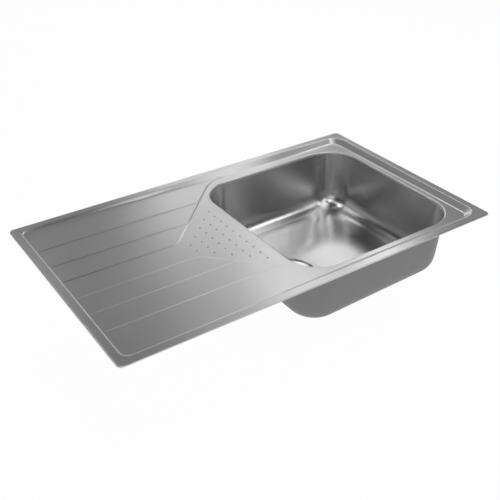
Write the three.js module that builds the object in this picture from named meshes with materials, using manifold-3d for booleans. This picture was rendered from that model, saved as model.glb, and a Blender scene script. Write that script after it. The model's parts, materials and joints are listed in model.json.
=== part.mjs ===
// Inset kitchen sink: one pressed steel deck with a drainboard, one deep bowl, a basket
// strainer waste and eight clips that hold the rim down on a worktop.
// Millimetres. +X runs from the drainboard to the bowl, +Y to the back and +Z up.
// z = 0 is the worktop surface. The origin is on the rim seal, at the middle of the front edge.

import * as THREE from 'three';
import { mergeVertices } from 'three/addons/utils/BufferGeometryUtils.js';
import Module from 'manifold-3d';

const wasm = await Module();
wasm.setup();

// ---------------------------------------------------------------- driving dimensions

const gap = 0.3; // between pieces that touch
const past = 1; // how far cutters run past a face
const round = 36; // sides of a large turned piece
const smallRound = 12; // sides of a pin or a small hole
const cornerSteps = 5; // divisions of a corner of the deck

// deck sheet
const deckLength = 860;
const deckWidth = 500;
const sheet = 0.8;
const outerCorner = 10;
const edgeTop = 1; // top of the outer edge above the worktop
const flangeTop = 2.8;
const edgeRoll = 4.5; // width of the rolled-down outer edge
const rollShoulder = [2, 0.75]; // shoulder of the roll: its inset and its share of the roll's rise
const flangeWidth = 16.8;
const recessSlope = 34.5; // degrees, slope from the flange down into the recess
const drainerCorner = 18;
const bowlEndCorner = 34;

// drainboard
const drainerMargin = 21; // from the drainer's end of the sink to the foot of its slope
const drainerHigh = -0.1; // height of the outer panels there
const drainerFall = 0.01;
const panelStep = 0.5;
const ridges = [98.8, 157.5, 214.1, 274, 332.2, 396.1]; // steps between panels, from the front edge

// bowl; its mouth is measured where the lip meets the level land
const bowlLength = 408;
const bowlWidth = 410;
const bowlEndMargin = 41; // from the mouth to the bowl's end of the sink
const bowlFrontMargin = 41; // from the mouth to the front edge
const bowlCorner = 76;
const bowlSteps = 8; // divisions of a corner of the bowl
const bowlSideSteps = 3;
const lipRadius = 4;
const lipSkirt = 1.5; // straight wall below the lip
const bowlTaper = 4; // degrees
const bowlCove = 42; // radius between wall and floor
const floorLevel = -157; // at the edge of the drain recess
const floorFall = 1.2; // rise from there to the front and back coves
const floorRise = 7; // further rise along the floor to the right
const drainPlace = [112, 201]; // of the drain's middle from the mouth's left and front sides
const recessEdge = 60;
const recessMargin = 4; // flat floor round the recess
const recessRadius = 57;
const recessDepth = 6;
const drainHole = 45;

// funnel that runs from the middle panel to the bowl; lengths are taken from the bowl's mouth
const surround = -6.5; // level of the flat land round the bowl
const funnelStart = 151; // where the middle panel opens into the funnel
const funnelFoot = 3; // where it reaches the level land
const funnelApex = 172.5; // where its two 45 degree sides would meet
const funnelBend = 19; // where those sides start to turn, past the mouth's left side
const funnelTurn = [[14, 11.5], [28, 19.5], [43, 25], [60, 29]]; // run and rise past the bend
const funnelMiddle = 249.5; // from the front edge
const bumpPitch = [25.2, 24];
const bumpColumns = [10, 8, 6, 4, 2]; // from the bowl outwards
const bumpFirst = 27.6; // column next to the bowl
const bumpMiddle = 244; // from the front edge
const bumpRadius = [2.7, 1.1];
const bumpHeight = 1;
const bumpSides = 8;

// rim seal and sound pad
const sealInset = 6;
const sealWidth = 6;
const padThickness = 2.5;
const padAlong = [204, 352]; // from the mouth's left side
const padAcross = [90, 310]; // from the mouth's front side

// basket strainer waste
const cupFlange = 56;
const cupRadius = 42;
const cupWall = 1;
const cupMouth = 3; // bevel from the flange into the cup
const cupDepth = 30;
const cupHoles = 8;
const cupHoleRadius = 4;
const cupHoleCircle = 22;
const sealThickness = 1.5;
const lowerSealThickness = 3;
const sealMargin = 1; // the seals end this much inside what they seal
const boltRadius = 3;
const boltLength = 19;
const boltHead = [7, 2.7];
const boltHeadEdge = 1;
const bodyWall = 2.5;
const bodyRim = 53;
const bodyRimThickness = 2;
const cupClearance = 1.5; // between the cup and the body's wall
const sumpDepth = 4; // straight wall below the cup
const funnelDrop = 7;
const outletRadius = 23.9;
const outletLength = 20;
const spokes = 3;
const spokeWidth = 3;
const spokeDepth = 14;
const bossRadius = 7;
const bossLength = 22;
const bossFloor = 2;

// removable basket
const basketTop = 39.5;
const basketBottom = 34;
const basketDrop = 4; // its rim below the top of the strainer flange
const basketHeight = 15;
const basketWall = 0.9;
const basketSlots = 12;
const slotSize = [3, 8];
const stopperRadius = 33;
const stopperThickness = 4;
const stopperSkirt = 6;
const stopperEdge = [1, 2]; // bevel at its foot
const postRadius = 2.5;
const postHeight = 20; // from the basket's floor to the top of its knob
const postCollar = [5.5, 1.5];
const knobProfile = [[5.5, 0], [8, 3], [9, 5], [7, 8]]; // radii and heights up its side

// clips
const clipSheet = 2;
const bracketLength = 26;
const bracketInner = 12; // from the screw to the inner face of the web
const bracketOuter = 8;
const bracketTopOuter = 2;
const screwRadius = 3;
const screwHead = [5, 4];
const screwThrough = 2; // screw end above the bracket's tab at rest
const screwHeadroom = 2; // left above the screw once it is driven up
const clipTravel = 12;
const clampReach = 40; // thickest worktop
const dogWidth = 14;
const dogRise = 6; // the tip stands above the dog's eye
const tipLength = 12;
const tipOverhang = 5; // from the outer edge of the sink to the tip of a swung-out dog
const farClip = 64; // from the outer edge to the screw
const nearClip = 26; // the same at the bowl's end, where there is less room
const drainerScrews = 100; // from the drainer's end to the first screws of the front and back
const bowlScrews = 91; // from the bowl's mouth to the second ones
const leftScrews = [128, 364]; // from the front edge
const rightScrews = [130, 330];

// ---------------------------------------------------------------- derived places

const frontY = -(sealInset + sealWidth / 2);
const backY = frontY + deckWidth;
const leftX = -deckLength / 2;
const rightX = deckLength / 2;
const fromFront = (distance) => frontY + distance;
const radians = (degrees) => degrees * Math.PI / 180;

const bowlRight = rightX - bowlEndMargin;
const bowlLeft = bowlRight - bowlLength;
const bowlFront = fromFront(bowlFrontMargin);
const drainX = bowlLeft + drainPlace[0];
const drainY = bowlFront + drainPlace[1];

const deckBottom = surround - lipRadius - lipSkirt;
const bowlTop = deckBottom - gap;
const recessFloor = floorLevel - recessDepth;
const below = -60; // depth to which cutters and blanks run under the deck
const above = 30;

// panels step down from both sides to the middle one, which opens into the funnel
const middleStep = ridges.length / 2;
const panelStart = leftX + drainerMargin;
const panelLevel = (x, step) => drainerHigh - step * panelStep - drainerFall * (x - panelStart);
const openX = bowlLeft - funnelStart;
const openLevel = panelLevel(openX, middleStep);
const footX = bowlLeft - funnelFoot;

// clips, each by its place along the side that it stands on
const drainerPlaces = [leftX + drainerScrews, bowlLeft - bowlScrews];
const clipRows = [
  ...drainerPlaces.map((at) => ({ side: 'front', at, inset: farClip })),
  ...drainerPlaces.map((at) => ({ side: 'back', at, inset: farClip })),
  ...leftScrews.map((distance) => ({ side: 'left', at: fromFront(distance), inset: farClip })),
  ...rightScrews.map((distance) => ({ side: 'right', at: fromFront(distance), inset: nearClip })),
];

// ---------------------------------------------------------------- geometry helpers

function toSolid(geometry) {
  const bare = geometry.clone();
  bare.deleteAttribute('normal');
  bare.deleteAttribute('uv');
  const merged = mergeVertices(bare, 1e-4);
  const mesh = new wasm.Mesh({
    numProp: 3,
    vertProperties: new Float32Array(merged.attributes.position.array),
    triVerts: new Uint32Array(merged.index.array),
  });
  return new wasm.Manifold(mesh);
}

function toGeometry(solid) {
  const mesh = solid.getMesh();
  const geometry = new THREE.BufferGeometry();
  geometry.setAttribute('position', new THREE.BufferAttribute(new Float32Array(mesh.vertProperties), 3));
  geometry.setIndex(new THREE.BufferAttribute(new Uint32Array(mesh.triVerts), 1));
  geometry.computeVertexNormals();
  return geometry;
}

// closed body through rings of equal point counts, listed from the top down,
// each ring running anticlockwise seen from above
function loft(rings) {
  const count = rings[0].length;
  const positions = rings.flat().flatMap((point) => [point.x, point.y, point.z]);
  const faces = [];
  for (let row = 0; row + 1 < rings.length; row += 1) {
    for (let i = 0; i < count; i += 1) {
      const next = (i + 1) % count;
      const a = row * count + i;
      const b = row * count + next;
      faces.push(a, a + count, b);
      faces.push(b, a + count, b + count);
    }
  }
  const last = (rings.length - 1) * count;
  for (let i = 1; i + 1 < count; i += 1) {
    faces.push(0, i, i + 1);
    faces.push(last, last + i + 1, last + i);
  }
  const geometry = new THREE.BufferGeometry();
  geometry.setAttribute('position', new THREE.Float32BufferAttribute(positions, 3));
  geometry.setIndex(faces);
  return geometry;
}

// rounded rectangle at an inset from a box in plan; level is a height or a function of x,
// steps divide each corner and sideSteps each straight side
function ring(box, inset, level, steps, sideSteps = 1) {
  const corners = [
    [box.x1, box.y1, box.rightCorner, 0],
    [box.x0, box.y1, box.leftCorner, 90],
    [box.x0, box.y0, box.leftCorner, 180],
    [box.x1, box.y0, box.rightCorner, 270],
  ];
  const arcs = corners.map(([x, y, corner, start]) => {
    const signX = x === box.x1 ? 1 : -1;
    const signY = y === box.y1 ? 1 : -1;
    const radius = Math.max(corner - inset, 1);
    const centreX = x - signX * (inset + radius);
    const centreY = y - signY * (inset + radius);
    return Array.from({ length: steps + 1 }, (_, i) => {
      const angle = radians(start + 90 * i / steps);
      return new THREE.Vector2(centreX + radius * Math.cos(angle), centreY + radius * Math.sin(angle));
    });
  });
  const outline = arcs.flatMap((arc, i) => {
    const next = arcs[(i + 1) % arcs.length][0];
    const side = Array.from({ length: sideSteps - 1 }, (_, j) =>
      arc[steps].clone().lerp(next, (j + 1) / sideSteps));
    return [...arc, ...side];
  });
  const heightAt = typeof level === 'function' ? level : () => level;
  return outline.map((point) => new THREE.Vector3(point.x, point.y, heightAt(point.x)));
}

function prism(points, low, high) {
  const shape = new THREE.Shape(points.map(([x, y]) => new THREE.Vector2(x, y)));
  const geometry = new THREE.ExtrudeGeometry(shape, { depth: high - low, bevelEnabled: false });
  return geometry.translate(0, 0, low);
}

// space above a line of [x, z] points, over the whole width of the deck
function spaceAbove(line) {
  const points = [...line, [line[line.length - 1][0], above], [line[0][0], above]];
  const geometry = prism(points, 0, deckWidth + 2 * above);
  return geometry.rotateX(Math.PI / 2).translate(0, backY + above, 0);
}

const lathe = (profile, segments) => {
  const points = profile.map(([radius, z]) => new THREE.Vector2(radius, z));
  return new THREE.LatheGeometry(points, segments).rotateX(Math.PI / 2);
};

const washerShape = (inner, outer, low, high, segments) =>
  lathe([[inner, low], [outer, low], [outer, high], [inner, high], [inner, low]], segments);

function drum(radius, low, high, segments) {
  const geometry = new THREE.CylinderGeometry(radius, radius, high - low, segments);
  return geometry.rotateX(Math.PI / 2).translate(0, 0, (low + high) / 2);
}

const rectangle = (x0, x1, y0, y1) => [[x0, y0], [x1, y0], [x1, y1], [x0, y1]];

function block(x, y, z) {
  const geometry = new THREE.BoxGeometry(x[1] - x[0], y[1] - y[0], z[1] - z[0]);
  return geometry.translate((x[0] + x[1]) / 2, (y[0] + y[1]) / 2, (z[0] + z[1]) / 2);
}

const cutAll = (solid, cutters) => cutters.reduce((left, cutter) => left.subtract(toSolid(cutter)), solid);

// ---------------------------------------------------------------- deck

const deckBox = {
  x0: leftX, x1: rightX, y0: frontY, y1: backY, leftCorner: outerCorner, rightCorner: outerCorner,
};
const recessBox = {
  x0: leftX + flangeWidth,
  x1: rightX - flangeWidth,
  y0: frontY + flangeWidth,
  y1: backY - flangeWidth,
  leftCorner: drainerCorner,
  rightCorner: bowlEndCorner,
};
const bowlBox = {
  x0: bowlLeft, x1: bowlRight, y0: bowlFront, y1: bowlFront + bowlWidth,
  leftCorner: bowlCorner, rightCorner: bowlCorner,
};

// plan of the middle panel, the funnel and the land round the bowl, grown by an offset
function funnelPlan(grow) {
  const side = grow * Math.SQRT2;
  const middle = fromFront(funnelMiddle);
  const upperStart = fromFront(ridges[middleStep]) + grow;
  const lowerStart = fromFront(ridges[middleStep - 1]) - grow;
  const apexX = bowlLeft - funnelApex;
  const bendX = bowlLeft + funnelBend;
  const reach = bendX - apexX + side;
  const upper = [[apexX + upperStart - middle - side, upperStart], [bendX, middle + reach]];
  const lower = [[apexX + middle - lowerStart - side, lowerStart], [bendX, middle - reach]];
  for (const [run, rise] of funnelTurn) {
    upper.push([bendX + run, middle + reach + rise]);
    lower.push([bendX + run, middle - reach - rise]);
  }
  const [lastX] = upper[upper.length - 1];
  return [
    [leftX - above, lowerStart], ...lower, [lastX, frontY - above], [rightX + above, frontY - above],
    [rightX + above, backY + above], [lastX, backY + above], ...upper.reverse(), [leftX - above, upperStart],
  ];
}

// plan of a panel and all that lies between it and its twin, grown by an offset
function panelPlan(step, grow) {
  if (step === 0) {
    return rectangle(leftX - above, rightX + above, frontY - above, backY + above);
  }
  const y0 = fromFront(ridges[step - 1]) - grow;
  const y1 = fromFront(ridges[ridges.length - step]) + grow;
  return rectangle(leftX - above, rightX + above, y0, y1);
}

// solid whose top is the pressed form; thickness turns it into the underside's form
function pressedForm(thickness) {
  const overhang = thickness > 0 ? 1 : 0;
  const rollRise = flangeTop - edgeTop;
  const shoulderZ = edgeTop + rollRise * rollShoulder[1];
  const edgeZ = edgeTop - overhang * (shoulderZ - edgeTop) / rollShoulder[0];
  const bottom = thickness > 0 ? below : deckBottom;
  const blank = toSolid(loft([
    ring(deckBox, edgeRoll, flangeTop, cornerSteps),
    ring(deckBox, rollShoulder[0], shoulderZ, cornerSteps),
    ring(deckBox, -overhang, edgeZ, cornerSteps),
    ring(deckBox, -overhang, bottom, cornerSteps),
  ]));

  const slopeGrow = thickness * Math.tan(radians(recessSlope / 2));
  const slopeDepth = flangeTop - surround + past;
  const slopeInset = slopeDepth / Math.tan(radians(recessSlope));
  const hollow = toSolid(loft([
    ring(recessBox, -slopeGrow, above, cornerSteps),
    ring(recessBox, -slopeGrow, flangeTop, cornerSteps),
    ring(recessBox, slopeInset - slopeGrow, flangeTop - slopeDepth, cornerSteps),
  ]));
  const farLeft = leftX - above;
  const farRight = rightX + above;
  const hollowPart = (line, plan) =>
    hollow.intersect(toSolid(spaceAbove(line))).intersect(toSolid(prism(plan, below, above)));
  let form = blank;
  for (let step = 0; step < middleStep; step += 1) {
    const landX = panelStart + (panelLevel(panelStart, step) - surround) / drainerFall;
    const line = [[farLeft, panelLevel(farLeft, step)], [landX, surround], [farRight, surround]];
    form = form.subtract(hollowPart(line, panelPlan(step, thickness)));
  }
  const funnelLine = [
    [farLeft, panelLevel(farLeft, middleStep)], [openX, openLevel], [footX, surround], [farRight, surround],
  ];
  form = form.subtract(hollowPart(funnelLine, funnelPlan(thickness)));

  const lipSteps = 5;
  const mouth = [ring(bowlBox, 0, above, bowlSteps)];
  for (let i = 0; i <= lipSteps; i += 1) {
    const angle = radians(90 * i / lipSteps);
    const inset = (lipRadius - thickness) * Math.sin(angle);
    const z = surround - lipRadius + thickness + (lipRadius - thickness) * Math.cos(angle);
    mouth.push(ring(bowlBox, inset, z, bowlSteps));
  }
  mouth.push(ring(bowlBox, lipRadius - thickness, below - past, bowlSteps));
  return form.subtract(toSolid(loft(mouth)));
}

function bumps() {
  const pieces = [];
  bumpColumns.forEach((count, column) => {
    const x = bowlLeft - bumpFirst - column * bumpPitch[0];
    const z = openLevel + (surround - openLevel) * Math.min((x - openX) / (footX - openX), 1);
    for (let i = 0; i < count; i += 1) {
      const y = fromFront(bumpMiddle) + (i - (count - 1) / 2) * bumpPitch[1];
      const cone = new THREE.CylinderGeometry(bumpRadius[1], bumpRadius[0], 2 * bumpHeight, bumpSides);
      cone.rotateX(Math.PI / 2);
      pieces.push(cone.translate(x, y, z));
    }
  });
  return pieces;
}

function makeDeck() {
  const underside = pressedForm(sheet).translate([0, 0, -sheet]);
  const skin = pressedForm(0).subtract(underside);
  // each bump's cone is twice as tall as the bump, and its lower half is trimmed to the sheet
  const studs = bumps().map(toSolid).reduce((left, right) => left.add(right));
  return toGeometry(skin.add(studs.subtract(underside)));
}

// ---------------------------------------------------------------- bowl

const wallHeight = bowlTop - floorLevel;
const taper = Math.tan(radians(bowlTaper));

// rise of the floor's edge above the drain recess, at a place along X
function edgeRise(x) {
  const share = (x - bowlLeft - bowlCorner) / (bowlRight - bowlLeft - 2 * bowlCorner);
  return floorFall + floorRise * THREE.MathUtils.clamp(share, 0, 1);
}

// rings of the bowl's inner face, or of its outer face when offset by the sheet
function bowlRings(offset, top) {
  const tilt = radians(bowlTaper);
  const wallInset = (z) => lipRadius + (bowlTop - z) * taper - offset / Math.cos(tilt);
  const rings = [ring(bowlBox, wallInset(top), top, bowlSteps, bowlSideSteps)];
  const coveCentre = lipRadius + (wallHeight - bowlCove) * taper + bowlCove / Math.cos(tilt);
  const coveSteps = 5;
  for (let i = 0; i <= coveSteps; i += 1) {
    const angle = tilt + (Math.PI / 2 - tilt) * i / coveSteps;
    const inset = coveCentre - (bowlCove + offset) * Math.cos(angle);
    const drop = bowlCove - (bowlCove + offset) * Math.sin(angle);
    const level = (x) => floorLevel + drop + edgeRise(x);
    rings.push(ring(bowlBox, inset, level, bowlSteps, bowlSideSteps));
  }
  const edge = rings[rings.length - 1];
  const flat = recessEdge + recessMargin;
  rings.push(edge.map((point) => {
    const angle = Math.atan2(point.y - drainY, point.x - drainX);
    const place = [drainX + flat * Math.cos(angle), drainY + flat * Math.sin(angle)];
    return new THREE.Vector3(...place, floorLevel - offset);
  }));
  return rings;
}

function makeBowl() {
  const outer = toSolid(loft(bowlRings(sheet, bowlTop)));
  const mouth = ring(bowlBox, lipRadius, above, bowlSteps, bowlSideSteps);
  const inner = toSolid(loft([mouth, ...bowlRings(0, bowlTop)]));
  const cup = lathe([
    [0, recessFloor - sheet], [recessRadius + sheet, recessFloor - sheet],
    [recessEdge + sheet, floorLevel - sheet / 2], [0, floorLevel - sheet / 2],
  ], round).translate(drainX, drainY, 0);
  const well = lathe([
    [0, recessFloor], [recessRadius, recessFloor], [recessEdge, floorLevel],
    [recessEdge, floorLevel + past], [0, floorLevel + past],
  ], round).translate(drainX, drainY, 0);
  const hole = drum(drainHole, recessFloor - sheet - past, recessFloor + past, round);
  const shell = outer.add(toSolid(cup)).subtract(inner);
  return toGeometry(cutAll(shell, [well, hole.translate(drainX, drainY, 0)]));
}

function makePad() {
  const outer = toSolid(loft(bowlRings(sheet, bowlTop)));
  const place = [padAlong.map((x) => bowlLeft + x), padAcross.map((y) => bowlFront + y)];
  const plan = block(...place, [floorLevel - bowlCove, floorLevel + bowlCove]);
  const lowered = outer.translate([0, 0, -gap - padThickness]).intersect(toSolid(plan));
  return toGeometry(lowered.subtract(outer.translate([0, 0, -gap])));
}

// ---------------------------------------------------------------- rim seal

function makeSeal() {
  const top = flangeTop - sheet - gap;
  const outer = toSolid(loft([
    ring(deckBox, sealInset, top, cornerSteps),
    ring(deckBox, sealInset, 0, cornerSteps),
  ]));
  const inner = toSolid(loft([
    ring(deckBox, sealInset + sealWidth, top + past, cornerSteps),
    ring(deckBox, sealInset + sealWidth, -past, cornerSteps),
  ]));
  return toGeometry(outer.subtract(inner));
}

// ---------------------------------------------------------------- waste

const cupSealBottom = recessFloor + gap;
const cupFlangeBottom = cupSealBottom + sealThickness + gap;
const cupFlangeTop = cupFlangeBottom + cupWall;
const cupFloorTop = cupFlangeTop - cupDepth;
const cupFloorBottom = cupFloorTop - cupWall;
const lowerSealTop = recessFloor - sheet - gap;
const lowerSealBottom = lowerSealTop - lowerSealThickness;
const bodyTop = lowerSealBottom - gap;
const bodyInner = cupRadius + cupClearance;
const bodyOuter = bodyInner + bodyWall;
const bodyKnee = cupFloorBottom - sumpDepth;
const outletTop = bodyKnee - funnelDrop;
const outletEnd = outletTop - outletLength;
const outletBore = outletRadius - bodyWall;

const makeCupSeal = () =>
  washerShape(drainHole + sealMargin, cupFlange - sealMargin, cupSealBottom, cupFlangeBottom - gap, round);

const makeLowerSeal = () =>
  washerShape(drainHole + sealMargin, bodyRim - sealMargin, lowerSealBottom, lowerSealTop, round);

function makeCup() {
  const inner = cupRadius - cupWall;
  const shell = toSolid(lathe([
    [0, cupFloorBottom], [cupRadius, cupFloorBottom], [cupRadius, cupFlangeBottom],
    [cupFlange, cupFlangeBottom], [cupFlange, cupFlangeTop],
    [inner + cupMouth, cupFlangeTop], [inner, cupFlangeTop - cupMouth], [inner, cupFloorTop],
    [0, cupFloorTop],
  ], round));
  const cutters = [drum(boltRadius + gap, cupFloorBottom - past, cupFloorTop + past, smallRound)];
  for (let i = 0; i < cupHoles; i += 1) {
    const angle = 2 * Math.PI * (i + 0.5) / cupHoles;
    const hole = drum(cupHoleRadius, cupFloorBottom - past, cupFloorTop + past, smallRound);
    cutters.push(hole.translate(cupHoleCircle * Math.cos(angle), cupHoleCircle * Math.sin(angle), 0));
  }
  return toGeometry(cutAll(shell, cutters));
}

// housing under the bowl, with a boss on spokes that the fixing bolt is screwed into
function makeBody() {
  const bossTop = cupFloorBottom - gap;
  const rimBottom = bodyTop - bodyRimThickness;
  const shell = toSolid(lathe([
    [bodyInner, bodyTop], [bodyInner, bodyKnee], [outletBore, outletTop], [outletBore, outletEnd],
    [outletRadius, outletEnd], [outletRadius, outletTop], [bodyOuter, bodyKnee],
    [bodyOuter, rimBottom - bodyRimThickness], [bodyRim, rimBottom], [bodyRim, bodyTop], [bodyInner, bodyTop],
  ], round));
  const wallMiddle = bodyInner + bodyWall / 2;
  const room = toSolid(lathe([
    [0, outletTop], [outletBore + bodyWall / 2, outletTop], [wallMiddle, bodyKnee], [wallMiddle, bossTop],
    [0, bossTop],
  ], round));
  let solid = shell.add(toSolid(drum(bossRadius, bossTop - bossLength, bossTop, smallRound)));
  for (let i = 0; i < spokes; i += 1) {
    const height = [bodyKnee - spokeDepth / 2, bodyKnee + spokeDepth / 2];
    const spoke = block([0, wallMiddle], [-spokeWidth / 2, spokeWidth / 2], height);
    solid = solid.add(toSolid(spoke.rotateZ(2 * Math.PI * i / spokes)).intersect(room));
  }
  const bore = drum(boltRadius + gap, bossTop - bossLength + bossFloor, bossTop + past, smallRound);
  return toGeometry(cutAll(solid, [bore]));
}

function makeBolt() {
  const headBottom = cupFloorTop + gap;
  const [headRadius, headHeight] = boltHead;
  return lathe([
    [0, headBottom - boltLength], [boltRadius, headBottom - boltLength], [boltRadius, headBottom],
    [headRadius, headBottom], [headRadius, headBottom + headHeight - boltHeadEdge],
    [headRadius - boltHeadEdge, headBottom + headHeight], [0, headBottom + headHeight],
  ], smallRound);
}

// ---------------------------------------------------------------- basket

const basketRim = cupFlangeTop - basketDrop;
const basketFloor = basketRim - basketHeight;
const stopperTop = basketFloor - basketWall - gap;
const stopperBottom = stopperTop - stopperThickness;
const stopperFoot = cupFloorTop + gap;
const [, knobHeight] = knobProfile[knobProfile.length - 1];
const knobBottom = basketFloor + postHeight - knobHeight;
const postTop = knobBottom + knobHeight / 2;

function makeBasket() {
  const shell = toSolid(lathe([
    [0, basketFloor - basketWall], [basketBottom, basketFloor - basketWall], [basketTop, basketRim],
    [basketTop - basketWall, basketRim], [basketBottom - basketWall, basketFloor], [0, basketFloor],
  ], round));
  const middle = (basketRim + basketFloor) / 2;
  const [slotWidth, slotHeight] = slotSize;
  const cutters = [drum(postRadius + gap, basketFloor - basketWall - past, basketFloor + past, smallRound)];
  for (let i = 0; i < basketSlots; i += 1) {
    const height = [middle - slotHeight / 2, middle + slotHeight / 2];
    const slot = block([basketBottom / 2, basketTop + past], [-slotWidth / 2, slotWidth / 2], height);
    cutters.push(slot.rotateZ(2 * Math.PI * i / basketSlots));
  }
  return toGeometry(cutAll(shell, cutters));
}

function makeStopper() {
  const inner = stopperRadius - stopperSkirt;
  const eye = postRadius + gap;
  const [edgeWidth, edgeHeight] = stopperEdge;
  return lathe([
    [eye, stopperBottom], [inner, stopperBottom], [inner, stopperFoot],
    [stopperRadius - edgeWidth, stopperFoot], [stopperRadius, stopperFoot + edgeHeight],
    [stopperRadius, stopperTop], [eye, stopperTop], [eye, stopperBottom],
  ], round);
}

function makePost() {
  const [collarRadius, collarHeight] = postCollar;
  const foot = stopperBottom - gap;
  return lathe([
    [0, foot - collarHeight], [collarRadius, foot - collarHeight], [collarRadius, foot], [postRadius, foot],
    [postRadius, postTop], [0, postTop],
  ], smallRound);
}

function makeKnob() {
  const eye = postRadius + gap;
  const side = knobProfile.map(([radius, height]) => [radius, knobBottom + height]);
  return lathe([
    [0, postTop + gap], [eye, postTop + gap], [eye, knobBottom], ...side, [0, knobBottom + knobHeight],
  ], 2 * smallRound);
}

// ---------------------------------------------------------------- clips
// each clip is made at its screw's axis, pointing outwards along -Y, and then turned to its side

const dogEyeTop = -clampReach - dogRise;
const dogEyeBottom = dogEyeTop - clipSheet;
const screwHeadTop = dogEyeBottom - gap;
const bracketHeight = clipTravel + screwThrough + screwHeadroom + 2 * clipSheet;

function makeBracket(underside) {
  const half = bracketLength / 2;
  const top = underside - gap;
  const low = top - bracketHeight;
  const web = [bracketInner, bracketInner + clipSheet];
  const plates = [
    block([-half, half], [-bracketTopOuter, web[1]], [top - clipSheet, top]),
    block([-half, half], web, [low, top]),
    block([-half, half], [-bracketOuter, web[1]], [low, low + clipSheet]),
  ].map(toSolid);
  const hole = drum(screwRadius + gap, low - past, low + clipSheet + past, smallRound);
  return toGeometry(cutAll(plates[0].add(plates[1]).add(plates[2]), [hole]));
}

function makeScrew(underside) {
  const tabTop = underside - gap - bracketHeight + clipSheet;
  const [headRadius, headHeight] = screwHead;
  return lathe([
    [0, screwHeadTop - headHeight], [headRadius, screwHeadTop - headHeight], [headRadius, screwHeadTop],
    [screwRadius, screwHeadTop], [screwRadius, tabTop + screwThrough], [0, tabTop + screwThrough],
  ], smallRound);
}

// arm parked along +X, with a raised tip
function makeDog(inset) {
  const reach = inset - tipOverhang;
  const profile = [
    [-dogWidth / 2, dogEyeBottom], [reach - tipLength - dogRise, dogEyeBottom],
    [reach - tipLength, dogEyeBottom + dogRise], [reach, dogEyeBottom + dogRise],
    [reach, dogEyeTop + dogRise], [reach - tipLength, dogEyeTop + dogRise],
    [reach - tipLength - dogRise, dogEyeTop], [-dogWidth / 2, dogEyeTop],
  ];
  const arm = prism(profile, -dogWidth / 2, dogWidth / 2).rotateX(Math.PI / 2);
  const eye = drum(screwRadius + gap, dogEyeBottom - past, dogEyeTop + past, smallRound);
  return toGeometry(cutAll(toSolid(arm), [eye]));
}

// place of a clip: its screw's axis, its turn about Z, and the deck's underside above it
function clipPlace({ side, at, inset }) {
  const places = {
    front: [at, frontY + inset, 0],
    right: [rightX - inset, at, 90],
    back: [at, backY - inset, 180],
    left: [leftX + inset, at, 270],
  };
  const [x, y, turn] = places[side];
  const passed = ridges.filter((ridge) => fromFront(ridge) < y).length;
  const step = Math.min(passed, ridges.length - passed);
  const level = side === 'right' ? surround : panelLevel(x + bracketLength / 2, step);
  return { x, y, turn, underside: level - sheet };
}

// ---------------------------------------------------------------- scene graph

const steel = { color: 0xb4b6b8, roughness: 0.32, metalness: 1 };
const zinc = { color: 0x9a9da1, roughness: 0.5, metalness: 1 };
const rubber = { color: 0x1c1d1f, roughness: 0.85, metalness: 0 };
const foam = { color: 0x3a3c3e, roughness: 0.95, metalness: 0 };
const plastic = { color: 0xd9dadb, roughness: 0.45, metalness: 0 };

const sink = new THREE.Group();

function addPiece(name, geometry, finish, parent = sink) {
  const mesh = new THREE.Mesh(geometry, new THREE.MeshStandardMaterial(finish));
  mesh.name = name;
  parent.add(mesh);
  return mesh;
}

addPiece('deck', makeDeck(), steel);
addPiece('bowl', makeBowl(), steel);
addPiece('rim_seal', makeSeal(), foam);
addPiece('sound_pad', makePad(), foam);

const waste = new THREE.Group();
waste.position.set(drainX, drainY, 0);
sink.add(waste);
addPiece('strainer_cup', makeCup(), steel, waste);
addPiece('cup_seal', makeCupSeal(), rubber, waste);
addPiece('lower_seal', makeLowerSeal(), rubber, waste);
addPiece('waste_body', makeBody(), plastic, waste);
addPiece('fixing_bolt', makeBolt(), steel, waste);
addPiece('basket', makeBasket(), steel, waste);
addPiece('basket_stopper', makeStopper(), rubber, waste);
addPiece('basket_post', makePost(), steel, waste);
addPiece('basket_knob', makeKnob(), plastic, waste);

clipRows.forEach((row, index) => {
  const place = clipPlace(row);
  const clip = new THREE.Group();
  clip.position.set(place.x, place.y, 0);
  clip.rotation.z = radians(place.turn);
  sink.add(clip);
  const number = index + 1;
  addPiece(`clip_bracket_${number}`, makeBracket(place.underside), zinc, clip);
  addPiece(`clip_screw_${number}`, makeScrew(place.underside), zinc, clip);
  addPiece(`clip_dog_${number}`, makeDog(row.inset), zinc, clip);
});

export default sink;
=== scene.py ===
# Looks of the inset kitchen sink: a fine pressed deck and a fine drawn bowl in brushed stainless
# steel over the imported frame, finishes for the waste, the seals and the clips, and the studio.
# Blender works in metres, in the frame of the CAD: +X to the bowl, +Y to the back, +Z up, and
# z = 0 on the worktop. The deck and the bowl are worked out in millimetres.

import json
import math

import bpy
import numpy as np
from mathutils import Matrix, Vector
from mathutils.geometry import delaunay_2d_cdt


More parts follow.
